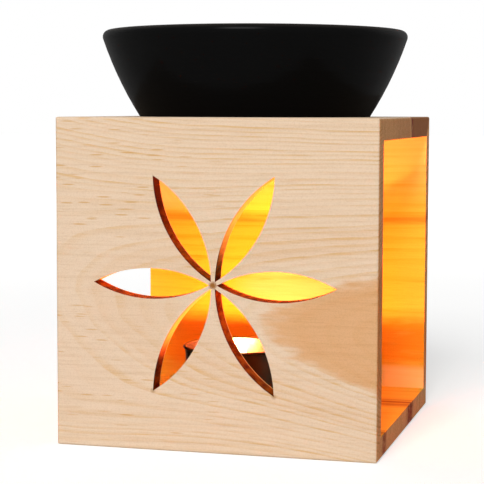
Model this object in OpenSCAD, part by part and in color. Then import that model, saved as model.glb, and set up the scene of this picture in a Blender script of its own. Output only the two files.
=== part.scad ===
// Essential oil burner: a mitred wooden sleeve with a pierced rosette front,
// a round bowl hung in its top board, and a tealight standing inside.
// Origin: centre of the underside. +Z is up, and the rosette faces -Y.

/* [Case] */
// Width of the sleeve, along its open direction
case_w = 105; // [100:0.5:130]
// Depth of the sleeve from the front face to the back face
case_d = 102.5; // [98:0.5:130]
// Height of the sleeve
case_h = 106; // [100:0.5:140]
// Thickness of the four boards
board_t = 7; // [5:0.25:8]
// Radius on the outer edges of the boards
edge_r = 0.8; // [0.3:0.1:2]

/* [Rosette] */
// Radius of the compass circle that the petals are drawn with
rosette_r = 40.8; // [30:0.2:44]
// Wood left between the tips of neighbouring petals
rosette_web = 1.2; // [0.8:0.1:2]
// Height of the rosette's centre above the underside
rosette_z = 53.5; // [50:0.5:56]

/* [Bowl] */
// Outer radius of the bowl at its rim
bowl_rim_r = 51.7; // [48:0.2:58]
// Outer radius of the bowl where it meets the top board
bowl_seat_r = 39.2; // [34:0.2:40]
// Height of the rim above the top board
bowl_rise = 29; // [24:0.5:36]
// Depth that the bowl hangs below the upper face of the top board
bowl_drop = 11; // [9:0.5:14]
// Radius of the curve of the bowl's wall, seen in section
bowl_curve_r = 120; // [90:1:180]
// Thickness of the bowl's wall, which ends in a fully rounded lip
bowl_wall = 4.4; // [3:0.2:6]
// Thickness of the bowl's floor
bowl_floor_t = 5; // [3:0.25:6]
// Radius where the bowl's wall runs into its floor, inside
bowl_cove_r = 9; // [5:0.5:12]
// Radius under the bowl, where the wall meets the underside
bowl_foot_r = 2; // [1:0.25:3]
// Height of the tapered seat in the top board
seat_h = 2.5; // [1.5:0.25:4]
// Clearance between the bowl and its seat, square to the taper
seat_gap = 0.25; // [0.1:0.05:0.5]

/* [Tealight] */
// Where the tealight stands, left or right of the middle
tealight_x = -4; // [-12:0.5:12]
// Where the tealight stands, before or behind the middle
tealight_y = -5; // [-12:0.5:12]
// Diameter of the cup over its rolled rim
cup_d = 38.4; // [36:0.2:42]
// Height of the cup
cup_h = 21; // [14:0.5:26]
// How far the cup's wall leans in, from rim to foot
cup_taper = 0.6; // [0.2:0.1:1.2]
// Thickness of the cup's metal
cup_t = 0.35; // [0.25:0.05:0.5]
// Diameter of the rolled rim's bead
cup_bead_d = 1.1; // [0.8:0.1:1.6]
// Width of the ring that the cup stands on
cup_foot_w = 4; // [3:0.25:6]
// Height of the raised panel in the middle of the cup's floor
cup_panel_h = 0.6; // [0.3:0.1:1]
// Depth of the wax that is left over the cup's floor
wax_depth = 4.5; // [4:0.25:12]
// Radius of the hollow that the flame melts into the wax
pool_r = 12; // [6:0.5:13]
// Depth of that hollow
pool_depth = 0.5; // [0.2:0.1:1]
// Clearance round the wax, the wick and the sustainer
wax_gap = 0.05; // [0.03:0.01:0.1]

/* [Wick] */
// Diameter of the wick
wick_d = 1.8; // [1:0.1:2.4]
// Height of the straight wick above the wax
wick_rise = 3.5; // [2.5:0.25:6]
// Radius of the bend at the wick's burnt end
wick_bend_r = 4; // [2.5:0.25:6]
// Angle of that bend
wick_bend = 50; // [20:5:80]
// Diameter of the sustainer's disc
tab_d = 12.5; // [9:0.5:16]
// Thickness of the sustainer's metal
tab_t = 0.4; // [0.3:0.05:0.6]
// Height of the sustainer's neck, which grips the wick
tab_neck_h = 2.5; // [1.5:0.25:3]

/* [Hidden] */
$fn = 96;
// Overshoot of a cut past the face that it goes through
past = 1;
petals = 6;
petal_a = 360 / petals;
// Largest gap between an arc of the bowl's section and its straight steps
arc_gap = 0.02;
inner_d = case_d - 2 * board_t;

// Point at distances ra from a and rb from b, on the left of the line from a to b
function meet(a, ra, b, rb) =
    let (d = norm(b - a), u = (b - a) / d, along = (d * d + ra * ra - rb * rb) / (2 * d),
         across = sqrt(ra * ra - along * along))
    a + along * u + across * [-u[1], u[0]];

function dir(a) = [cos(a), sin(a)];
// Points along an arc about c, from angle a to angle b
function arc(c, r, a, b) =
    let (steps = ceil(abs(b - a) / (2 * acos(1 - arc_gap / r))))
    [for (i = [0 : steps]) c + r * dir(a + (b - a) * i / steps)];
function heading(p, q) = atan2(q[1] - p[1], q[0] - p[0]);

// The bowl's section, as [radius, height above the top board]. One centre carries the wall's outer and inner
// arcs, and the lip, the foot and the cove run tangent into them.
lip_r = bowl_wall / 2;
lip_c = [bowl_rim_r - lip_r, bowl_rise - lip_r];
seat_p = [bowl_seat_r, 0];
wall_c = meet(seat_p, bowl_curve_r, lip_c, bowl_curve_r - lip_r);
inner_r = bowl_curve_r - bowl_wall;
bowl_floor_z = bowl_floor_t - bowl_drop;
function on_wall(r, z) = [wall_c[0] + sqrt(r * r - (z - wall_c[1]) * (z - wall_c[1])), z];
cove_c = on_wall(inner_r - bowl_cove_r, bowl_floor_z + bowl_cove_r);
foot_c = on_wall(bowl_curve_r - bowl_foot_r, bowl_foot_r - bowl_drop);
lip_a = heading(wall_c, lip_c);
cove_a = heading(wall_c, cove_c);
foot_a = heading(wall_c, foot_c);
// The seat's taper follows the wall at the top board's upper face
wall_n = (seat_p - wall_c) / bowl_curve_r;
seat_r = bowl_seat_r + seat_gap / wall_n[0];
seat_low_r = seat_r + seat_h * wall_n[1] / wall_n[0];

// The tealight's section, as [radius, height above the base board]. The rim's bead rolls outwards from the
// wall's upper end.
cup_wall_h = cup_h - cup_bead_d / 2;
cup_rim_r = cup_d / 2 - cup_bead_d + cup_t;
cup_foot_r = cup_rim_r - cup_taper;
cup_ring_r = cup_foot_r - cup_foot_w;
cup_panel_r = cup_ring_r - cup_panel_h;
panel_top = cup_panel_h + cup_t;
// Radius of the wax at height z, just inside the leaning wall
function wax_r(z) = cup_foot_r - cup_t - wax_gap + cup_taper * (z - cup_t) / (cup_wall_h - cup_t);
wax_z = panel_top + wax_depth;
wick_r = wick_d / 2;
tab_r = tab_d / 2;
neck_r = wick_r + wax_gap + tab_t;
neck_top = panel_top + tab_t + tab_neck_h;
pool_ball_r = (pool_r * pool_r + pool_depth * pool_depth) / (2 * pool_depth);

// Rectangle with rounded corners, its lower edge centred on the origin
module rounded_slab(w, h, r) {
    translate([-w / 2 + r, 0]) square([w - 2 * r, h]);
    translate([-w / 2, r]) square([w, h - 2 * r]);
    for (x = [-w / 2 + r, w / 2 - r], y = [r, h - r]) translate([x, y]) circle(r);
}

// The sleeve's end view, run along X
module along_x() rotate([90, 0, 90]) translate([0, 0, -case_w / 2]) linear_extrude(case_w) children();

// A mitred upright board: its end view runs along X, and its plan rounds the edges at the open ends
module upright_board(side) intersection() {
    along_x() intersection() {
        rounded_slab(case_d, case_h, edge_r);
        polygon([[side * case_d / 2, 0], [side * case_d / 2, case_h],
                 [side * inner_d / 2, case_h - board_t], [side * inner_d / 2, board_t]]);
    }
    translate([0, -case_d / 2, 0]) linear_extrude(case_h) rounded_slab(case_w, case_d, edge_r);
}

// A mitred level board, with its outer face at height z_out and its inner face at z_in: its end view runs
// along X, and its front view rounds the edges at the open ends
module level_board(z_out, z_in) intersection() {
    along_x() intersection() {
        rounded_slab(case_d, case_h, edge_r);
        polygon([[-case_d / 2, z_out], [case_d / 2, z_out], [inner_d / 2, z_in], [-inner_d / 2, z_in]]);
    }
    translate([0, case_d / 2, 0]) rotate([90, 0, 0])
        linear_extrude(case_d) rounded_slab(case_w, case_h, edge_r);
}

// One petal along +X: two arcs struck from points on the compass circle, each short of it by half the web
module petal() intersection_for (side = [-1, 1])
    rotate(side * petal_a) translate([rosette_r, 0]) circle(rosette_r - rosette_web / 2);

module rosette() for (i = [0 : petals - 1]) rotate(i * petal_a) petal();

module front_panel() color("burlywood") difference() {
    upright_board(-1);
    translate([0, board_t + past - case_d / 2, rosette_z]) rotate([90, 0, 0])
        linear_extrude(board_t + 2 * past) rosette();
}

module back_panel() color("burlywood") upright_board(1);

module base_panel() color("burlywood") level_board(0, board_t);

module top_panel() color("burlywood") difference() {
    level_board(case_h, case_h - board_t);
    translate([0, 0, case_h]) rotate_extrude() polygon([
        [0, -board_t - past], [seat_low_r, -board_t - past], [seat_low_r, -seat_h], [seat_r, 0],
        [seat_r, past], [0, past]]);
}

module bowl() color("#1c1b1a") translate([0, 0, case_h]) rotate_extrude() polygon(concat(
    [[0, -bowl_drop]],
    arc(foot_c, bowl_foot_r, -90, foot_a),
    arc(wall_c, bowl_curve_r, foot_a, lip_a),
    arc(lip_c, lip_r, lip_a, lip_a + 180),
    arc(wall_c, inner_r, lip_a, cove_a),
    arc(cove_c, bowl_cove_r, cove_a, -90),
    [[0, bowl_floor_z]]));

module at_tealight() translate([tealight_x, tealight_y, board_t]) children();

module tealight_cup() color("silver") at_tealight() rotate_extrude() {
    polygon([[0, cup_panel_h], [cup_panel_r, cup_panel_h], [cup_ring_r, 0], [cup_foot_r, 0],
             [cup_rim_r, cup_wall_h], [cup_rim_r - cup_t, cup_wall_h],
             [cup_foot_r - cup_t, cup_t], [cup_ring_r, cup_t], [cup_panel_r, panel_top], [0, panel_top]]);
    translate([cup_rim_r - cup_t + cup_bead_d / 2, cup_wall_h]) circle(cup_bead_d / 2);
}

module tealight_wax() color("ivory") at_tealight() difference() {
    rotate_extrude() polygon([
        [0, panel_top], [cup_panel_r, panel_top], [cup_ring_r, cup_t],
        [wax_r(cup_t), cup_t], [wax_r(wax_z), wax_z], [0, wax_z]]);
    translate([0, 0, wax_z - pool_depth + pool_ball_r]) sphere(pool_ball_r);
    cylinder(h = cup_h, r = wick_r + wax_gap);
    cylinder(h = panel_top + tab_t + wax_gap, r = tab_r + wax_gap);
    cylinder(h = neck_top + wax_gap, r = neck_r + wax_gap);
}

module wick() color("dimgray") at_tealight() {
    bend_z = wax_z + wick_rise;
    translate([0, 0, panel_top]) cylinder(h = bend_z - panel_top, r = wick_r);
    translate([wick_bend_r, 0, bend_z]) rotate([90, 0, 0]) rotate([0, 0, 180 - wick_bend])
        rotate_extrude(angle = wick_bend) translate([wick_bend_r, 0]) circle(wick_r);
}

module wick_sustainer() color("gainsboro") at_tealight() difference() {
    union() {
        translate([0, 0, panel_top]) cylinder(h = tab_t, r = tab_r);
        translate([0, 0, panel_top]) cylinder(h = neck_top - panel_top, r = neck_r);
    }
    translate([0, 0, panel_top - past]) cylinder(h = neck_top - panel_top + 2 * past, r = wick_r + wax_gap);
}

front_panel();
back_panel();
top_panel();
base_panel();
bowl();
tealight_cup();
tealight_wax();
wick();
wick_sustainer();
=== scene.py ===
import math
from typing import NamedTuple

import bmesh
import bpy
from bpy.props import FloatProperty, FloatVectorProperty, PointerProperty
from bpy.types import Operator, Panel, PropertyGroup
from mathutils import Matrix, Vector


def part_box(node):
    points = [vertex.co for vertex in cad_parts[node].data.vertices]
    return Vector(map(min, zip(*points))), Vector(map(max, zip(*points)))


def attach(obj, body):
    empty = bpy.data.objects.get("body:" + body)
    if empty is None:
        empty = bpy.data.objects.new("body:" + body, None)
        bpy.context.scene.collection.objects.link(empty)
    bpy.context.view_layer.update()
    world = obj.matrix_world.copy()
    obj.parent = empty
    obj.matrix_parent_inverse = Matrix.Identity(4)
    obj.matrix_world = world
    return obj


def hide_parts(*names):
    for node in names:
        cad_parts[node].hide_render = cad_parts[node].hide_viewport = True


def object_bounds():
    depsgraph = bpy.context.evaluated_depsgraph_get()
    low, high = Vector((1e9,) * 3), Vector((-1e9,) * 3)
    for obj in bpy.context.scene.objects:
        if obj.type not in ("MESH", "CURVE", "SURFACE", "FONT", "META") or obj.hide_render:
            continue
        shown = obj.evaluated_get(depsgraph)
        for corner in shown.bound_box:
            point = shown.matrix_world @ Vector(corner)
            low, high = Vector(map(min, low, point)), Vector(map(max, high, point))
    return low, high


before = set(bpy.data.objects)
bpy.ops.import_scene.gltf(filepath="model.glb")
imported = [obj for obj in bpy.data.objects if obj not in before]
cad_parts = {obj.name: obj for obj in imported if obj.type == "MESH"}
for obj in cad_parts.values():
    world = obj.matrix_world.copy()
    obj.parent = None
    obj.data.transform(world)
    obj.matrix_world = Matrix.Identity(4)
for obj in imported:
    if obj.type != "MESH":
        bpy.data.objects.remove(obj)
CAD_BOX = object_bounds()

bl_info = {
    "name": "Oil Burner Finishes",
    "version": (1, 0, 0),
    "blender": (4, 5, 0),
    "location": "View3D > Sidebar > Oil Burner",
    "description": "Pine boards, black bowl, lit tealight and studio for a small oil burner",
    "category": "Object",
}

MM = 0.001
PER_METRE = 1000.0


def srgb(red, green, blue):
    """A colour as a screen shows it, 0 to 255, as the linear numbers that shaders take."""
    def linear(value):
        part = value / 255
        return part / 12.92 if part <= 0.04045 else ((part + 0.055) / 1.055) ** 2.4
    return linear(red), linear(green), linear(blue)


def darker(tone, share_left):
    """A colour with only a share of its light left."""
    return tuple(part * share_left for part in tone)


def colour(name, description, default):
    """A colour that a user may change."""
    return FloatVectorProperty(
        name=name, description=description, subtype="COLOR", size=3, min=0.0, max=1.0, default=default)


def length(name, description, default):
    """A length in metres that a user may change."""
    return FloatProperty(name=name, description=description, unit="LENGTH", min=0.0, default=default)


def share(name, description, default):
    """A number from 0 to 1 that a user may change."""
    return FloatProperty(
        name=name, description=description, subtype="FACTOR", min=0.0, max=1.0, default=default)


def angle(name, description, default):
    """An angle in radians that a user may change."""
    return FloatProperty(name=name, description=description, unit="ROTATION", default=default)


def power(name, description, default):
    """A lamp's power in watts that a user may change."""
    return FloatProperty(name=name, description=description, unit="POWER", min=0.0, default=default)


def place(name, description, default):
    """A place in metres that a user may change."""
    return FloatVectorProperty(
        name=name, description=description, subtype="TRANSLATION", unit="LENGTH", size=3, default=default)


class WoodSettings(PropertyGroup):
    """Colours and scale of the pine that the sleeve is made of."""
    sapwood: colour("Sapwood", "Pale outer wood between the ring lines", srgb(236, 210, 183))
    latewood: colour("Latewood", "A strong ring line in sapwood", srgb(228, 190, 142))
    resin: colour("Resin", "Flecks that run with the grain", srgb(213, 165, 102))
    pitch: colour("Pitch", "Single dark rings full of pitch", srgb(134, 64, 26))
    sawn_end: colour("Sawn end", "What end grain takes the wood's own colour down by", srgb(236, 197, 151))
    # Partly a heat tone and partly painted warm flame light, laid over all the inner faces
    heat_tint_and_painted_warmth: colour("Toasted", "What heat takes the inner faces' own colour down by", srgb(255, 243, 105))
    # Painted light: the pale colour of the inner faces where light falls on them, and of the inner petal
    # edges, partly unburnt wood and partly a painted glow
    pale: colour("Pale", "Inner faces and inner petal edges that heat leaves pale", srgb(248, 224, 144))
    char_dark: colour("Char, dark", "Deepest burn on the cut walls of the petals", srgb(84, 27, 6))
    char_light: colour("Char, light", "Lightest burn on the cut walls of the petals", srgb(176, 100, 22))
    # Painted flame light: the lighter colour of cut walls that face down to the flame, where its light falls
    # on them
    painted_flame_light: colour("Browned", "Cut walls that face down to the flame", srgb(224, 206, 98))
    scorch: colour("Scorch", "What burning takes the rosette's middle and tips down by", srgb(172, 126, 70))
    roughness: share("Roughness", "Roughness of the sanded faces", 0.55)
    fleck_length: length("Fleck length", "Rough length of a resin fleck along the grain", 9.0 * MM)
    fleck_height: length("Fleck height", "Rough height of a resin fleck across the grain", 0.9 * MM)
    rosette_radius: length("Rosette radius", "From the rosette's middle to the tips of its petals", 39.6 * MM)
    rosette_height: length("Rosette height", "Height of the rosette's middle over the table", 53.5 * MM)


class BowlSettings(PropertyGroup):
    """The black glaze of the bowl."""
    glaze: colour("Glaze", "Colour of the glaze on the wall", srgb(5, 5, 5))
    # Partly the glaze running thin and partly a painted highlight along the lip
    lip: colour("Lip", "Colour where the glaze runs thin over the lip", srgb(38, 34, 31))
    lip_height: length("Lip height", "How far down from the rim the glaze runs thin", 1.4 * MM)
    roughness: share("Roughness", "Roughness of the satin glaze", 0.78)
    gloss: share("Gloss", "How much of the smooth top coat shows", 0.05)
    gloss_blur: share("Gloss blur", "Roughness of the smooth top coat", 0.24)
    peel: length("Peel", "Width of the small waves in the glaze", 0.9 * MM)


class TealightSettings(PropertyGroup):
    """The candle, its cup and its flame."""
    metal: colour("Metal", "Drawn aluminium of the cup", srgb(158, 151, 143))
    metal_roughness: share("Metal roughness", "Roughness of the cup's bright inside", 0.23)
    # Painted shade: darkens the cup's outside, standing in for the dark inside of the sleeve that it reflects
    outside_painted_shade: colour("Soot", "What dulls the outside of the cup", srgb(104, 84, 68))
    tin: colour("Tin", "Tinned steel of the wick's foot", srgb(170, 170, 166))
    wax: colour("Wax", "Paraffin wax", srgb(244, 238, 222))
    pool_radius: length("Pool radius", "Half the width of the molten pool round the wick", 12.0 * MM)
    cotton: colour("Cotton", "Clean cotton of the wick", srgb(226, 214, 190))
    burnt: colour("Burnt", "Burnt end of the wick", srgb(22, 17, 14))
    wick_bend_radius: length("Wick bend", "Radius of the curl at the wick's top", 4.0 * MM)
    wick_bend: angle("Wick curl", "How far the wick's top curls over", math.radians(50))
    braid_pitch: length("Braid pitch", "Length of one turn of the wick's strands", 3.4 * MM)
    flame_foot: length("Flame foot", "Height of the flame's foot over the table", 16.5 * MM)
    flame_height: length("Flame height", "From the flame's foot to its tip", 13.5 * MM)
    flame_width: length("Flame width", "Across the flame's widest part", 5.8 * MM)
    flame_lean: length("Flame lean", "How far the flame's tip leans to the left", 0.9 * MM)
    flame_glow: FloatProperty(
        name="Flame glow", description="Brightness of the flame itself", min=0.0, default=9.0)
    lamp_power: power("Lamp power", "Light that the flame throws", 0.9)
    lamp_height: length("Lamp height", "Height of the flame's bright part over the table", 26.6 * MM)
    lamp_radius: length("Lamp radius", "Half the height of the flame's bright part", 1.9 * MM)
    lamp_tint: colour("Lamp tint", "Colour of the flame's light", (1.0, 0.168, 0.042))
    glint_power: power("Glint power", "Light that the molten pool throws back up", 0.72)
    glint_spread: angle("Glint spread", "Width of the cone of light from the molten pool", math.radians(101))
    glint_tint: colour("Glint tint", "Colour of the light from the molten pool", (1.0, 0.25, 0.11))


class StageSettings(PropertyGroup):
    """Camera, floor and studio light."""
    camera_place: place("Camera", "Where the camera stands", (0.135147, -0.516570, 0.108441))
    camera_yaw: angle("Yaw", "Turn of the camera to the left of +Y", 0.2639)
    camera_pitch: angle("Pitch", "Tilt of the camera above the horizon", -0.0849)
    camera_roll: angle("Roll", "Lean of the camera about its own line of sight", 0.0028)
    camera_lens: FloatProperty(
        name="Lens", description="Focal length on a 36 mm sensor", unit="CAMERA", default=115.783)
    floor: colour("Floor", "Pale grey paint of the floor", srgb(228, 228, 227))
    floor_radius: length("Floor radius", "Half the width of the round floor", 6.0)
    near: length("Near", "How far from the object the floor starts to go white", 0.2)
    far: length("Far", "How far from the object the floor is at its whitest", 1.6)
    near_lift: share("Lift, near", "How much nearer to white the camera sees the floor at the object", 0.48)
    far_lift: share("Lift, far", "How much nearer to white the camera sees the floor far off", 0.98)
    room_light: share("Room light", "Level of the light that comes from all round", 0.06)
    key_place: place("Key light", "Where the soft light over the front hangs", (0.1, -2.5, 1.9))
    key_power: power("Key power", "Power of the soft light over the front", 82.0)
    rim_place: place("Rim light", "Where the light behind the right end hangs", (0.75, 1.0, 0.3))
    rim_power: power("Rim power", "Power of the light behind the right end", 4.5)
    back_place: place("Back light", "Where the light behind the left end hangs", (-0.85, 0.75, 0.6))
    back_power: power("Back power", "Power of the light behind the left end", 3.0)
    lamp_size: length("Lamp size", "Width of each studio light", 1.2)


class OilBurnerSettings(PropertyGroup):
    """All that can be set on the oil burner's looks."""
    wood: PointerProperty(type=WoodSettings)
    bowl: PointerProperty(type=BowlSettings)
    tealight: PointerProperty(type=TealightSettings)
    stage: PointerProperty(type=StageSettings)


class Socket:
    """One output of a shader node. Sums written with it add Math nodes to its tree."""

    def __init__(self, nodes, output):
        self.nodes = nodes
        self.output = output

    def other(self, name):
        """Another output of the same node."""
        return Socket(self.nodes, self.output.node.outputs[name])

    def __add__(self, value):
        return self.nodes.math("ADD", self, value)

    def __radd__(self, value):
        return self.nodes.math("ADD", value, self)

    def __sub__(self, value):
        return self.nodes.math("SUBTRACT", self, value)

    def __rsub__(self, value):
        return self.nodes.math("SUBTRACT", value, self)

    def __mul__(self, value):
        return self.nodes.math("MULTIPLY", self, value)

    def __rmul__(self, value):
        return self.nodes.math("MULTIPLY", value, self)

    def __truediv__(self, value):
        return self.nodes.math("DIVIDE", self, value)

    def __rtruediv__(self, value):
        return self.nodes.math("DIVIDE", value, self)

    def __pow__(self, value):
        return self.nodes.math("POWER", self, value)

    def __rpow__(self, value):
        return self.nodes.math("POWER", value, self)

    def __abs__(self):
        return self.nodes.math("ABSOLUTE", self)


class Nodes:
    """A node tree with short ways to add to it."""

    def __init__(self, tree):
        self.tree = tree
        tree.nodes.clear()

    def node(self, kind, settings=None, sockets=None, output=0):
        """Adds a node, sets its settings and then its sockets, and gives one of its outputs."""
        node = self.tree.nodes.new("ShaderNode" + kind)
        for key, value in (settings or {}).items():
            if key == "stops":
                self.set_stops(node.color_ramp, value)
            else:
                setattr(node, key, value)
        for key, value in (sockets or {}).items():
            self.feed(self.open_socket(node.inputs, key), value)
        return Socket(self, self.open_socket(node.outputs, output)) if node.outputs else None

    @staticmethod
    def open_socket(sockets, key):
        """A socket by its place, or by its name among those that the node's settings leave in use."""
        if isinstance(key, int):
            return sockets[key]
        return next(socket for socket in sockets if socket.name == key and socket.enabled)

    @staticmethod
    def set_stops(ramp, stops):
        """Gives a colour ramp its stops, each a place and a colour."""
        while len(ramp.elements) < len(stops):
            ramp.elements.new(1.0)
        for element, (stop, tone) in zip(ramp.elements, stops):
            element.position = stop
            element.color = (*tone, 1.0)

    def feed(self, socket, value):
        """Links a socket to another, or sets its own value."""
        if isinstance(value, Socket):
            self.tree.links.new(value.output, socket)
        elif socket.type == "RGBA":
            socket.default_value = (*value, 1.0)
        else:
            socket.default_value = value

    def math(self, operation, *values):
        """A sum on numbers."""
        return self.node("Math", {"operation": operation}, dict(enumerate(values)))

    def largest(self, first, *others):
        """The largest of some numbers."""
        for other in others:
            first = self.math("MAXIMUM", first, other)
        return first

    def vary(self, middle, *parts):
        """A number that varies about its middle, by pairs of a noise and the width of its swing."""
        total = middle - sum(swing for _, swing in parts) / 2
        for noise, swing in parts:
            total = noise * swing + total
        return total

    def vector(self, operation, *values):
        """A sum on vectors."""
        return self.node("VectorMath", {"operation": operation}, dict(enumerate(values)))

    def distance(self, first, second):
        """How far one point lies from another."""
        return self.vector("DISTANCE", first, second).other("Value")

    def split(self, vector):
        """The three parts of a vector."""
        x = self.node("SeparateXYZ", sockets={"Vector": vector})
        return x, x.other("Y"), x.other("Z")

    def mix(self, first, second, factor, blend="MIX"):
        """One colour turned into another by a factor."""
        settings = {"data_type": "RGBA", "blend_type": blend}
        return self.node("Mix", settings, {"Factor": factor, "A": first, "B": second}, "Result")

    def shade(self, tone, shadow, factor):
        """A colour taken down by another, as far as a factor says."""
        return self.mix(tone, shadow, factor, "MULTIPLY")

    def step(self, value, low, high):
        """0 at the first mark and before it, 1 at the second and past it, smooth between them."""
        sockets = {"Value": value, "From Min": low, "From Max": high}
        return self.node("MapRange", {"interpolation_type": "SMOOTHSTEP"}, sockets)

    def noise(self, vector, stretch, detail=2.0):
        """Noise from 0 to 1, with stretch as its waves per unit of length along each axis."""
        scaled = self.vector("MULTIPLY", vector, stretch)
        return self.node("TexNoise", sockets={"Vector": scaled, "Scale": 1.0, "Detail": detail})

    def wave(self, value, waves, detail=1.0):
        """Noise along one number, with so many waves per unit."""
        sockets = {"W": value, "Scale": waves, "Detail": detail}
        return self.node("TexNoise", {"noise_dimensions": "1D"}, sockets)

    def millimetres(self):
        """Where the shaded point is in the row frame, in millimetres."""
        metres = self.node("TexCoord", output="Object")
        return self.vector("MULTIPLY", metres, (PER_METRE,) * 3)

    def normal(self):
        """Which way the surface faces."""
        return self.node("NewGeometry", output="True Normal")


class Finish(Nodes):
    """A material whose colours and relief come from nodes."""

    def __init__(self, name, constants):
        self.material = bpy.data.materials.new(name)
        self.material.use_nodes = True
        super().__init__(self.material.node_tree)
        surface = self.node("BsdfPrincipled", sockets=constants)
        self.shader = surface.output.node
        self.node("OutputMaterial", sockets={"Surface": surface})

    def set(self, name, value):
        """Sets or links a socket of the material's shader."""
        self.feed(self.shader.inputs[name], value)

    def relief(self, height, depth):
        """Raises the surface by a height from 0 to 1, where depth in metres is the length of 1."""
        sockets = {"Height": height, "Distance": depth, "Strength": 1.0}
        self.set("Normal", self.node("Bump", sockets=sockets))

    def put_on(self, piece):
        """Makes this the only material of a piece."""
        piece.data.materials.clear()
        piece.data.materials.append(self.material)


class Board(NamedTuple):
    """How a board is sawn out of a log whose grain runs along X. Lengths are in millimetres."""
    node: str
    cut: tuple  # the board's own place along and across the log
    pith: tuple  # from the board's middle to the log's, along Y and Z
    lean: tuple  # drift of the log's middle along Y and Z, per length along X
    ring: float  # width of the first year's growth
    heart: float  # radius of the heartwood
    heartwood: tuple  # colour of the heartwood
    pitch_lines: tuple = ()  # radius, half width and depth of single dark rings
    flecks: float = 0.3  # share of the resin flecks that is kept
    sag: float = 0.0  # bend of the rings above the log's middle
    level: float = 0.0  # tilt taken off the rings below the log's middle
    pierced: bool = False  # whether the rosette is cut through the board


BOARDS = (
    Board(
        "front_panel", cut=(0, 0, 0), pith=(22.2, -8), lean=(-0.23, -0.13), ring=3.0,
        heart=22, heartwood=srgb(226, 177, 130), flecks=0.97, sag=0.0028, level=0.235, pierced=True),
    Board(
        "back_panel", cut=(310, 70, 40), pith=(14.5, -30), lean=(0, 0.01), ring=8.0,
        heart=19.7, heartwood=srgb(234, 176, 108), pitch_lines=((48.8, 2.6, 0.5),)),
    Board(
        "top_panel", cut=(150, -90, 220), pith=(70, 10), lean=(0.02, 0), ring=5.0,
        heart=61, heartwood=srgb(164, 118, 66), pitch_lines=((61.2, 3.4, 0.85), (80, 24, 0.14))),
    Board(
        "base_panel", cut=(520, 30, -160), pith=(80, -15), lean=(0.03, 0), ring=6.0,
        heart=0, heartwood=srgb(226, 177, 130), pitch_lines=((69.7, 11, 0.9), (121, 6, 0.7))),
)


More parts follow.
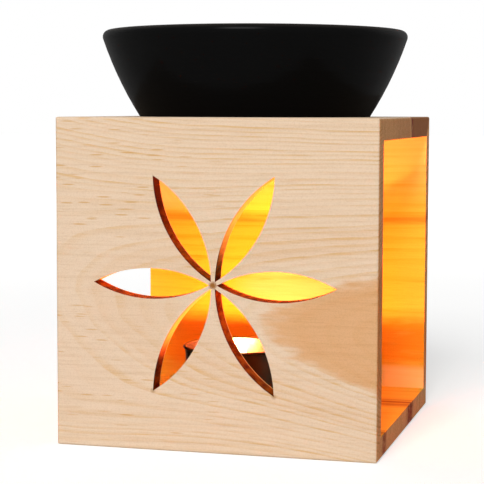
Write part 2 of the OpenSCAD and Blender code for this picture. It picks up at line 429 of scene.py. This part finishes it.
class Pine(Finish):
    """Sanded pine for one board, cut out of a solid log. Lengths are in millimetres."""

    # Waves per millimetre along X, Y and Z. Those of the wood itself run long with the grain.
    WANDER = (0.011, 0.026, 0.026)
    RIPPLE = (0.03, 0.13, 0.13)
    FUZZ = (0.1, 0.45, 0.45)
    DASH = (0.05, 0.8, 0.8)
    STREAK = (0.022, 0.7, 0.7)
    FIBRE = (0.09, 3.0, 3.0)
    CLUSTER = (0.02, 0.05, 0.05)
    SPECK = (2.6, 2.6, 2.6)
    BURN = (0.5, 0.16, 0.5)
    GRIT = (5.0, 1.2, 5.0)

    # What each mark takes the wood's own colour down by
    FIBRE_SHADE = (0.93, 0.89, 0.84)
    STREAK_SHADE = (0.95, 0.92, 0.88)
    SPECK_SHADE = (0.92, 0.9, 0.88)
    PORE_SHADE = (0.6, 0.52, 0.46)
    ARRIS_SHADE = (0.62, 0.5, 0.4)

    # Turns of the two lower petals, whose tips are scorched
    LOWER_TIPS = (math.radians(240), math.radians(300))

    # Middle and half size, along X and Z, of the painted highlight on the wall just over the flame, where the
    # wall is left less tinted
    PATCH_MIDDLE = (3.0, 43.0)
    PATCH_REACH = (26.0, 9.5)

    def __init__(self, board, look):
        super().__init__("pine_" + board.node, {"Specular IOR Level": 0.04})
        self.board = board
        self.look = look
        self.low, self.high = (corner * PER_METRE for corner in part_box(board.node))
        self.point = self.millimetres()
        self.log = self.vector("ADD", self.point, board.cut)
        self.x, self.y, self.z = self.split(self.point)
        facing_x, self.facing_y, self.facing_z = self.split(self.vector("ABSOLUTE", self.normal()))
        self.sawn = self.step(facing_x, 0.55, 0.9)
        self.streak = self.noise(self.log, self.STREAK)
        self.fibre = self.noise(self.log, self.FIBRE, 3.0)

    def dress(self):
        """Lays the marks of the wood, the saw and the fire over each other, and the light painted on the
        inner faces and the cut walls.
        """
        look = self.look
        radius, flat = self.ring_radius()
        heart, warmth = self.heartwood(radius)
        late, weight, line = self.year_lines(radius, flat, heart)
        line_shade = tuple(dark / pale for dark, pale in zip(look.latewood, look.sapwood))
        tone = self.mix(look.sapwood, self.board.heartwood, self.largest(heart, warmth))
        tone = self.shade(tone, line_shade, line)
        tone = self.shade(tone, self.FIBRE_SHADE, self.step(self.fibre, 0.45, 0.8))
        tone = self.shade(tone, self.STREAK_SHADE, self.step(self.streak, 0.45, 0.75))
        tone = self.shade(tone, self.SPECK_SHADE, self.step(self.noise(self.point, self.SPECK), 0.4, 0.75))
        tone = self.mix(tone, look.resin, self.resin_flecks())
        if self.board.pitch_lines:
            tone = self.mix(tone, look.pitch, self.pitch(radius))
        tone = self.shade(tone, look.sawn_end, self.sawn)
        pores = self.step(self.fibre, 0.42, 0.7) * 0.6 + late * weight * 0.4
        tone = self.shade(tone, self.PORE_SHADE, self.sawn * pores)
        tone = self.tint_inner_faces_and_paint_light(tone)
        roughness = self.vary(look.roughness, (self.fibre, 0.16)) + self.sawn * 0.18
        if self.board.pierced:
            tone, walls = self.burn_rosette(tone)
            roughness = roughness + walls * 0.3
        self.set("Base Color", tone)
        self.set("Roughness", roughness)
        self.relief(self.fibre * 0.7 + late * 0.15, 0.02 * MM)

    def ring_radius(self):
        """The radius of the ring at a point, and how flat to the rings its face is sawn, from 0 to 1."""
        board = self.board
        middle = (self.low + self.high) / 2
        across = self.y - (middle.y + board.pith[0]) - self.x * board.lean[0]
        up = self.z - (middle.z + board.pith[1]) - self.x * board.lean[1]
        slope = self.math("MINIMUM", self.x, self.x * 0.5)
        sag = slope * slope * self.step(up, 5.0, 30.0) * board.sag
        tilt = self.x * (1 - self.x * 0.0094) * self.step(up, -10.0, -42.0) * board.level
        up = up - sag - tilt
        from_pith = (across * across + up * up) ** 0.5
        flat = (self.facing_y * abs(across) + self.facing_z * abs(up)) / from_pith
        wander = self.noise(self.log, self.WANDER) - 0.5
        ripple = self.noise(self.log, self.RIPPLE) - 0.5
        return from_pith + wander * 3.6 + ripple, flat

    def heartwood(self, radius):
        """1 in the heartwood and 0 outside it, and the faint warmer band a little way round it."""
        fuzz = self.noise(self.log, self.FUZZ, 3.0) - 0.5
        outside = radius - self.board.heart
        heart = self.step(outside + fuzz * 4.0, 1.2, -1.2)
        band = outside + fuzz * 3.0
        return heart, self.step(band, 14.5, 12.5) * self.step(band, 3.0, 8.0) * 0.14

    def year_lines(self, radius, flat, heart):
        """Where in a ring the late wood lies, how strong that ring is, and the line that shows."""
        count = radius * (radius * 0.012 + 1) / self.board.ring + self.wave(radius, 0.16) * 1.4
        part = self.math("FRACT", count)
        year = {"W": self.math("FLOOR", count)}
        weight = self.node("TexWhiteNoise", {"noise_dimensions": "1D"}, year)
        late = self.step(part, 0.3, 0.85) * self.step(part, 1.0, 0.9)
        dashes = self.step(self.noise(self.log, self.DASH), 0.45, 0.66)
        strength = weight * (dashes * 0.9 + 0.5) + 0.14
        shown = (1 - heart * 0.5) * (self.step(flat, 0.97, 0.7) * 0.65 + 0.35)
        return late, weight, late * strength * shown

    def resin_flecks(self):
        """Short resin canals along the grain, fainter towards +X: above 0 on a fleck and 0 off it."""
        # Half the size of a fleck in cells, and the cells per millimetre along Y
        reach, across_y = 0.36, 0.6
        along = 2 * reach / (self.look.fleck_length * PER_METRE)
        upright = 2 * reach / (self.look.fleck_height * PER_METRE)
        cells = self.vector("MULTIPLY", self.log, (along, across_y, upright))
        spot = self.node("TexVoronoi", sockets={"Vector": cells, "Scale": 1.0})
        chance, size, _ = self.split(spot.other("Color"))
        faded = self.step(self.x, 25.0, -25.0) * 0.8 + 0.2
        cluster = self.step(self.noise(self.log, self.CLUSTER), 0.3, 0.52) * faded
        kept = self.step(chance, self.board.flecks, self.board.flecks - 0.04) * cluster
        return self.step(spot / (size * 0.7 + 0.5), reach, reach * 0.4) * kept * 0.8

    def pitch(self, radius):
        """Single dark rings, patchy along the grain and darkest on the sawn ends."""
        rings = (
            self.step(abs(radius - middle), half_width, half_width * 0.1) * depth
            for middle, half_width, depth in self.board.pitch_lines)
        patchy = self.step(self.streak, 0.2, 0.7) * 0.7 + 0.3
        return self.largest(*rings) * patchy * (self.sawn * 0.5 + 1)

    def between(self, value, low, high):
        """1 between two faces and on them, and 0 past them."""
        past = abs(value - (low + high) / 2) - (high - low) / 2
        return self.step(past, 0.3, 0.1)

    def tint_inner_faces_and_paint_light(self, tone):
        """Tints the inner faces amber, partly as heat tone and partly as painted warm flame light. Paints
        light as paler, less tinted wood at the walls' foot near the right end, at their top and top left, and
        as a painted highlight just over the flame.
        """
        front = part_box("front_panel")[1].y * PER_METRE
        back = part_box("back_panel")[0].y * PER_METRE
        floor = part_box("base_panel")[1].z * PER_METRE
        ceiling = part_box("top_panel")[0].z * PER_METRE
        inside = self.between(self.y, front, back) * self.between(self.z, floor, ceiling)
        # Painted light: the walls' foot near the right end, their top and their top left are paler and less
        # tinted where light falls on them
        foot = self.step(self.z, floor + 9.0, floor + 6.0) * self.step(self.x, 0.0, 30.0) * 0.75
        top = self.step(self.z, ceiling - 31.0, ceiling - 3.0) * 0.4
        top_left = self.step(self.z, ceiling - 31.0, ceiling - 23.0) * self.step(self.x, -12.0, -34.0)
        painted_light_zones = self.facing_y * self.largest(foot, top, top_left)
        # Painted highlight: the patch just over the flame keeps more of its own colour, where the flame's
        # light is strongest
        aside = (self.x - self.PATCH_MIDDLE[0]) / self.PATCH_REACH[0]
        above = (self.z - self.PATCH_MIDDLE[1]) / self.PATCH_REACH[1]
        painted_highlight = self.facing_y * self.step(aside * aside + above * above, 1.0, 0.1) * 0.7
        tone = self.mix(tone, self.look.pale, inside * painted_light_zones)
        return self.shade(tone, self.look.heat_tint_and_painted_warmth, inside * (1 - self.largest(painted_light_zones, painted_highlight)))

    def burn_rosette(self, tone):
        """Burns the rosette's cut walls, middle and lower tips, with painted flame light and a painted glow
        on some walls. Also says where the cut walls are.
        """
        hub = Vector((0, 0, self.look.rosette_height * PER_METRE))
        petal = self.look.rosette_radius * PER_METRE
        from_hub = self.distance(self.vector("MULTIPLY", self.point, (1, 0, 1)), hub)
        walls = self.step(self.facing_y, 0.75, 0.45) * self.step(from_hub, petal + 1.6, petal + 1.0)
        grit = self.noise(self.point, self.GRIT, 3.0)
        tone = self.mix(tone, self.char(grit, self.z - hub.z), walls)
        scorch = self.step(from_hub + (grit - 0.5) * 1.6, 1.7, 0.5)
        for turn in self.LOWER_TIPS:
            tip = hub + Vector((petal * math.cos(turn), self.low.y, petal * math.sin(turn)))
            scorch = self.largest(scorch, self.step(self.distance(self.point, tip), 1.2, 0.1) * 0.5)
        return self.shade(tone, self.look.scorch, scorch), walls

    def char(self, grit, over_hub):
        """Burnt wood of the cut walls: painted flame light where they face down to the flame, darker high up,
        pale inside partly as unburnt wood and partly as a painted glow, dark in front.
        """
        look = self.look
        burn = self.noise(self.point, self.BURN) + grit * 0.3
        downward = 0 - self.split(self.normal())[2]
        # Painted light: the walls that face down to the flame are lightened where its light falls
        lit = self.step(downward, 0.05, 0.55) * self.step(over_hub, -23.5, -15.5)
        darker_high = self.step(over_hub, 8.5, 30.5) * (1 - lit)
        char = self.mix(look.char_dark, look.char_light, self.step(burn, 0.4, 0.9) * 0.55)
        char = self.mix(char, darker(look.char_dark, 0.4), darker_high)
        char = self.mix(char, look.painted_flame_light, lit)
        # The inner edge is pale partly as unburnt wood and partly as a painted glow where the flame's light
        # reaches it
        inner_edge = self.step(self.y, self.high.y - 0.8, self.high.y - 0.1)
        outer_edge = self.step(self.y, self.low.y + 1.6, self.low.y + 0.2)
        return self.shade(self.mix(char, look.pale, inner_edge * 0.7), self.ARRIS_SHADE, outer_edge)


def black_glaze(look):
    """Satin black glaze with a fine peel, lighter over the lip, partly as thin glaze and partly as a painted
    highlight.
    """
    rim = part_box("bowl")[1].z * PER_METRE
    glaze = Finish("black_glaze", {
        "Specular IOR Level": 0.02, "Coat Weight": look.gloss, "Coat Roughness": look.gloss_blur})
    point = glaze.millimetres()
    height = glaze.split(point)[2]
    waves = 1 / (look.peel * PER_METRE)
    peel = glaze.noise(point, (waves,) * 3)
    grain = glaze.noise(point, (4.0,) * 3, 3.0)
    cloud = glaze.noise(point, (0.09,) * 3)
    thrown = glaze.wave(height, 0.7)
    # Painted highlight along the lip, partly also the glaze running thin there
    thin = glaze.step(height, rim - look.lip_height * PER_METRE, rim) * glaze.step(cloud, 0.2, 0.6)
    glaze.set("Base Color", glaze.mix(look.glaze, look.lip, thin))
    glaze.set("Roughness", glaze.vary(look.roughness, (cloud, 0.14), (grain, 0.12)))
    glaze.relief(peel * 0.45 + grain * 0.35 + thrown * 0.2, 0.05 * MM)
    return glaze


def drawn_aluminium(look):
    """Thin drawn aluminium with lines round it, faint draw marks down it and soft dents, and painted shade on
    its outside and on its reflections at glancing angles.
    """
    low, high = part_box("tealight_cup")
    middle = (low + high) / 2 * PER_METRE
    # The dark specular tint is painted shade on the cup's reflections at glancing angles
    metal = Finish("drawn_aluminium", {"Metallic": 1.0, "Specular Tint": (0.3, 0.28, 0.26)})
    point = metal.millimetres()
    x, y, z = metal.split(point)
    turn = metal.math("ARCTAN2", y - middle.y, x - middle.x)
    lines = metal.wave(z, 6.0, 2.0)
    marks = metal.wave(turn, 28.0, 2.0)
    dents = metal.noise(point, (0.16,) * 3)
    tarnish = metal.noise(point, (0.4,) * 3, 3.0)
    level_point = metal.vector("MULTIPLY", point, (1, 1, 0))
    outward = metal.vector("SUBTRACT", level_point, (middle.x, middle.y, 0))
    facing_out = metal.vector("DOT_PRODUCT", outward, metal.normal()).other("Value")
    outside = metal.step(facing_out, 1.0, 6.0)
    tone = metal.mix(look.metal, darker(look.metal, 0.72), tarnish)
    # Painted shade: the cup's outside is darkened, standing in for the dark inside of the sleeve that it
    # reflects
    metal.set("Base Color", metal.shade(tone, look.outside_painted_shade, outside))
    bright = metal.vary(look.metal_roughness, (lines, 0.08), (tarnish, 0.1))
    metal.set("Roughness", bright + outside * 0.14)
    metal.relief(lines * 0.008 + marks * 0.05 + dents * 0.9, 0.12 * MM)
    return metal


def paraffin(look):
    """Candle wax, wet and smooth in the molten pool and cloudy outside it."""
    low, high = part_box("tealight_wax")
    middle = (low + high) / 2 * PER_METRE
    wax = Finish("paraffin", {"Subsurface Weight": 0.35, "Subsurface Scale": 4 * MM, "IOR": 1.44})
    point = wax.millimetres()
    from_wick = wax.distance(point, (middle.x, middle.y, high.z * PER_METRE))
    pool = look.pool_radius * PER_METRE
    shore = (wax.noise(point, (0.25,) * 3) - 0.5) * 3.0
    wet = wax.step(from_wick + shore, pool + 0.6, pool - 0.6)
    cloud = wax.noise(point, (0.5,) * 3, 4.0)
    wax.set("Base Color", wax.mix(look.wax, darker(look.wax, 0.82), wet * 0.4 + cloud * 0.3))
    wax.set("Roughness", 0.5 - wet * 0.4 + cloud * 0.08)
    wax.relief(cloud * (1 - wet), 0.15 * MM)
    return wax


def stamped_tin(look):
    """Bright stamped tinplate with a matte spangle."""
    tin = Finish("stamped_tin", {"Metallic": 1.0})
    point = tin.millimetres()
    spangle = tin.node("TexVoronoi", sockets={"Vector": point, "Scale": 0.9})
    scuff = tin.noise(point, (3.0, 0.4, 3.0), 3.0)
    tin.set("Base Color", tin.mix(look.tin, darker(look.tin, 0.6), scuff))
    tin.set("Roughness", spangle * 0.2 + scuff * 0.15 + 0.22)
    tin.relief(scuff, 0.03 * MM)
    return tin


def candle_cotton(look, wax_top, tip):
    """Cotton yarn, soaked pale at the wax and burnt black towards its tip."""
    cotton = Finish("candle_cotton", {"Sheen Weight": 0.2})
    point = cotton.millimetres()
    height = cotton.split(point)[2]
    yarn = cotton.noise(point, (5.0, 5.0, 1.6), 3.0)
    foot = wax_top * PER_METRE
    black_from = foot + 0.45 * (tip * PER_METRE - foot)
    burnt = cotton.step(height + (yarn - 0.5) * 1.6, foot + 0.6, black_from)
    cotton.set("Base Color", cotton.mix(look.cotton, look.burnt, burnt))
    cotton.set("Roughness", 0.75 + burnt * 0.2)
    cotton.relief(yarn, 0.12 * MM)
    return cotton


def burning_gas(look):
    """The flame: a thin blue foot, a white-hot body and an amber tip."""
    gas = Finish("burning_gas", {
        "Base Color": (0.0, 0.0, 0.0), "Roughness": 1.0, "Specular IOR Level": 0.0,
        "Emission Strength": look.flame_glow})
    height = gas.split(gas.millimetres())[2]
    rise = (height - look.flame_foot * PER_METRE) / (look.flame_height * PER_METRE)
    stops = (
        (0.0, (0.05, 0.1, 0.4)), (0.16, (0.35, 0.2, 0.1)), (0.34, (1.0, 0.8, 0.5)),
        (0.7, (1.0, 0.76, 0.42)), (1.0, (1.0, 0.34, 0.05)))
    gas.set("Emission Color", gas.node("ValToRGB", {"stops": stops}, {"Fac": rise}))
    gas.set("Alpha", gas.step(rise, 0.0, 0.35) * gas.step(rise, 1.0, 0.75) * 0.75 + 0.2)
    return gas


def add_piece(name, shape):
    """Makes an object of a bmesh, with smooth faces."""
    mesh = bpy.data.meshes.new(name)
    bmesh.ops.recalc_face_normals(shape, faces=shape.faces)
    shape.to_mesh(mesh)
    shape.free()
    mesh.shade_smooth()
    piece = bpy.data.objects.new(name, mesh)
    bpy.context.scene.collection.objects.link(piece)
    return piece


def ring_of_points(middle, right, up, radius, sides):
    """Points round a middle, on a circle that two directions of length 1 span."""
    turns = (math.tau * side / sides for side in range(sides))
    return [middle + (right * math.cos(turn) + up * math.sin(turn)) * radius for turn in turns]


def add_tube(shape, rings):
    """Skins rings of points one after the other, and closes both ends."""
    loops = [[shape.verts.new(point) for point in ring] for ring in rings]
    sides = len(loops[0])
    for first, second in zip(loops, loops[1:]):
        for side in range(sides):
            after = (side + 1) % sides
            shape.faces.new((first[side], first[after], second[after], second[side]))
    shape.faces.new(loops[0][::-1])
    shape.faces.new(loops[-1])


def braided_wick(look):
    """Three cotton strands twisted about the wick's line, which leaves the wax straight and curls over."""
    strands, sides, step = 3, 10, 0.25 * MM
    low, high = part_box("wick")
    wick_radius = (high.y - low.y) / 2
    foot = Vector((low.x + wick_radius, (low.y + high.y) / 2, low.z))
    bend_radius, bend = look.wick_bend_radius, look.wick_bend
    straight = high.z - low.z - (bend_radius + wick_radius) * math.sin(bend)
    whole = straight + bend_radius * bend
    strand_radius = wick_radius * 0.52
    strand_offset = wick_radius - strand_radius
    sideways = Vector((0, 1, 0))

    def line_at(along):
        """The middle of the wick at a length from its foot, and the way to the inside of its curl."""
        curl = max(0.0, along - straight) / bend_radius
        over = bend_radius * (1 - math.cos(curl))
        rise = min(along, straight) + bend_radius * math.sin(curl)
        return foot + Vector((over, 0, rise)), Vector((math.cos(curl), 0, -math.sin(curl)))

    shape = bmesh.new()
    steps = math.ceil(whole / step)
    for strand in range(strands):
        rings = []
        for index in range(steps + 1):
            along = whole * index / steps
            middle, inward = line_at(along)
            twist = math.tau * (along / look.braid_pitch + strand / strands)
            centre = middle + (inward * math.cos(twist) + sideways * math.sin(twist)) * strand_offset
            taper = min(1.0, 0.35 + (whole - along) / (3 * step))
            rings.append(ring_of_points(centre, inward, sideways, strand_radius * taper, sides))
        add_tube(shape, rings)
    return add_piece("braided_wick", shape)


def flame_body(look):
    """A leaning drop: round at the foot, drawn out to a point."""
    levels, sides, end_gap = 26, 28, 0.004
    low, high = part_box("wick")
    wick_radius = (high.y - low.y) / 2
    foot = Vector((high.x - wick_radius, (low.y + high.y) / 2, look.flame_foot))
    rings = []
    for index in range(levels):
        part = end_gap + (1 - 2 * end_gap) * index / (levels - 1)
        swell = 2.25 * part ** 0.55 * (1 - part) ** 0.9
        middle = foot + Vector((-look.flame_lean * part, 0, look.flame_height * part))
        radius = look.flame_width / 2 * swell
        rings.append(ring_of_points(middle, Vector((1, 0, 0)), Vector((0, 1, 0)), radius, sides))
    shape = bmesh.new()
    add_tube(shape, rings)
    return add_piece("flame", shape)


def add_lamp(name, kind, spot, energy, tint=(1.0, 1.0, 1.0)):
    """Adds a lamp at a spot."""
    lamp = bpy.data.objects.new(name, bpy.data.lights.new(name, kind))
    lamp.data.energy = energy
    lamp.data.color = tint
    lamp.location = spot
    bpy.context.scene.collection.objects.link(lamp)
    return lamp


class BURNER_OT_stage(Operator):
    """Set the camera, the pale floor and the soft studio light"""
    bl_idname = "burner.stage"
    bl_label = "Stage"

    def execute(self, context):
        look = context.scene.oil_burner.stage
        context.scene.view_settings.view_transform = "Standard"
        self.add_camera(context.scene, look)
        self.add_floor(look)
        self.light_room(context.scene, look)
        return {"FINISHED"}

    @staticmethod
    def add_camera(scene, look):
        yaw, pitch, roll = look.camera_yaw, look.camera_pitch, look.camera_roll
        ahead = Vector((-math.sin(yaw) * math.cos(pitch), math.cos(yaw) * math.cos(pitch), math.sin(pitch)))
        level = Vector((math.cos(yaw), math.sin(yaw), 0))
        upright = level.cross(ahead)
        right = level * math.cos(roll) + upright * math.sin(roll)
        up = upright * math.cos(roll) - level * math.sin(roll)
        camera = bpy.data.objects.new("camera", bpy.data.cameras.new("camera"))
        camera.data.lens = look.camera_lens
        camera.data.sensor_width = 36.0
        camera.data.clip_start = 0.01
        turned = Matrix((right, up, -ahead)).transposed().to_4x4()
        camera.matrix_world = Matrix.Translation(look.camera_place) @ turned
        scene.collection.objects.link(camera)
        scene.camera = camera

    @staticmethod
    def seen(nodes):
        """1 where the camera looks, straight on or by way of a reflection or a clear body, and else 0."""
        path = nodes.node("LightPath", output="Is Camera Ray")
        return nodes.largest(path, path.other("Is Glossy Ray"), path.other("Is Transmission Ray"))

    def add_floor(self, look):
        shape = bmesh.new()
        bmesh.ops.create_circle(shape, cap_ends=True, segments=96, radius=look.floor_radius)
        floor = add_piece("floor", shape)
        paint = Finish("floor_paint", {
            "Roughness": 0.9, "Specular IOR Level": 0.0, "Emission Strength": 1.0})
        point = paint.millimetres()
        mottle = paint.noise(point, (0.02,) * 3, 3.0)
        paint.set("Base Color", paint.mix(look.floor, darker(look.floor, 0.97), mottle))
        from_object = paint.vector("LENGTH", point).other("Value")
        away = paint.step(from_object, look.near * PER_METRE, look.far * PER_METRE)
        lift = away * (look.far_lift - look.near_lift) + look.near_lift
        paint.set("Emission Color", paint.mix((0.0,) * 3, (1.0,) * 3, self.seen(paint) * lift))
        paint.put_on(floor)

    def light_room(self, scene, look):
        scene.world = bpy.data.worlds.new("studio")
        scene.world.use_nodes = True
        room = Nodes(scene.world.node_tree)
        white = room.node("Background", sockets={
            "Color": (1.0, 1.0, 1.0),
            "Strength": self.seen(room) * (1 - look.room_light) + look.room_light})
        room.node("OutputWorld", sockets={"Surface": white})
        middle = (CAD_BOX[0] + CAD_BOX[1]) / 2
        for name in ("key", "rim", "back"):
            spot = Vector(getattr(look, name + "_place"))
            lamp = add_lamp(name + "_light", "AREA", spot, getattr(look, name + "_power"))
            lamp.data.size = look.lamp_size
            lamp.rotation_euler = (middle - spot).to_track_quat("-Z", "Y").to_euler()


class BURNER_OT_boards(Operator):
    """Give the sleeve's four boards their pine"""
    bl_idname = "burner.boards"
    bl_label = "Boards"

    def execute(self, context):
        for board in BOARDS:
            pine = Pine(board, context.scene.oil_burner.wood)
            pine.dress()
            pine.put_on(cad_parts[board.node])
        return {"FINISHED"}


class BURNER_OT_bowl(Operator):
    """Glaze the bowl"""
    bl_idname = "burner.bowl"
    bl_label = "Bowl"

    def execute(self, context):
        black_glaze(context.scene.oil_burner.bowl).put_on(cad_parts["bowl"])
        return {"FINISHED"}


class BURNER_OT_cup(Operator):
    """Give the tealight's cup its aluminium"""
    bl_idname = "burner.cup"
    bl_label = "Tealight cup"

    def execute(self, context):
        drawn_aluminium(context.scene.oil_burner.tealight).put_on(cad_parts["tealight_cup"])
        return {"FINISHED"}


class BURNER_OT_wax(Operator):
    """Fill the tealight with wax"""
    bl_idname = "burner.wax"
    bl_label = "Wax"

    def execute(self, context):
        paraffin(context.scene.oil_burner.tealight).put_on(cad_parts["tealight_wax"])
        return {"FINISHED"}


class BURNER_OT_wick(Operator):
    """Twist the cotton wick and finish its tin foot"""
    bl_idname = "burner.wick"
    bl_label = "Wick"

    def execute(self, context):
        look = context.scene.oil_burner.tealight
        stamped_tin(look).put_on(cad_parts["wick_sustainer"])
        wick = braided_wick(look)
        candle_cotton(look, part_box("tealight_wax")[1].z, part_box("wick")[1].z).put_on(wick)
        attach(wick, "tealight")
        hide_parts("wick")
        return {"FINISHED"}


class BURNER_OT_flame(Operator):
    """Light the wick"""
    bl_idname = "burner.flame"
    bl_label = "Flame"

    def execute(self, context):
        look = context.scene.oil_burner.tealight
        flame = flame_body(look)
        burning_gas(look).put_on(flame)
        flame.visible_shadow = False
        flame.visible_diffuse = False
        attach(flame, "tealight")
        low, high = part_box("wick")
        middle = Vector(((low.x + high.x) / 2, (low.y + high.y) / 2, look.lamp_height))
        lamp = add_lamp("flame_light", "POINT", middle, look.lamp_power, look.lamp_tint)
        glint = add_lamp("pool_light", "SPOT", middle, look.glint_power, look.glint_tint)
        glint.rotation_euler = (math.pi, 0, 0)
        glint.data.spot_size = look.glint_spread
        glint.data.spot_blend = 0.05
        for light in (lamp, glint):
            light.data.shadow_soft_size = look.lamp_radius
            light.visible_camera = False
        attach(lamp, "tealight")
        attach(glint, "tealight")
        return {"FINISHED"}


class BURNER_PT_panel(Panel):
    """The oil burner's pieces and settings"""
    bl_idname = "BURNER_PT_panel"
    bl_label = "Oil Burner"
    bl_space_type = "VIEW_3D"
    bl_region_type = "UI"
    bl_category = "Oil Burner"

    def draw(self, context):
        for step in STEPS:
            self.layout.operator(step.bl_idname)
        for group in OilBurnerSettings.__annotations__:
            settings = getattr(context.scene.oil_burner, group)
            box = self.layout.box()
            box.label(text=group.capitalize())
            for name in settings.__annotations__:
                box.prop(settings, name)


STEPS = (
    BURNER_OT_stage, BURNER_OT_boards, BURNER_OT_bowl, BURNER_OT_cup, BURNER_OT_wax, BURNER_OT_wick,
    BURNER_OT_flame)
CLASSES = (
    WoodSettings, BowlSettings, TealightSettings, StageSettings, OilBurnerSettings, *STEPS, BURNER_PT_panel)


def register():
    for made in CLASSES:
        bpy.utils.register_class(made)
    bpy.types.Scene.oil_burner = PointerProperty(type=OilBurnerSettings)


def unregister():
    del bpy.types.Scene.oil_burner
    for made in reversed(CLASSES):
        bpy.utils.unregister_class(made)


def main():
    """Makes everything in order."""
    register()
    bpy.ops.burner.stage()
    bpy.ops.burner.boards()
    bpy.ops.burner.bowl()
    bpy.ops.burner.cup()
    bpy.ops.burner.wax()
    bpy.ops.burner.wick()
    bpy.ops.burner.flame()


if __name__ == "__main__":
    main()
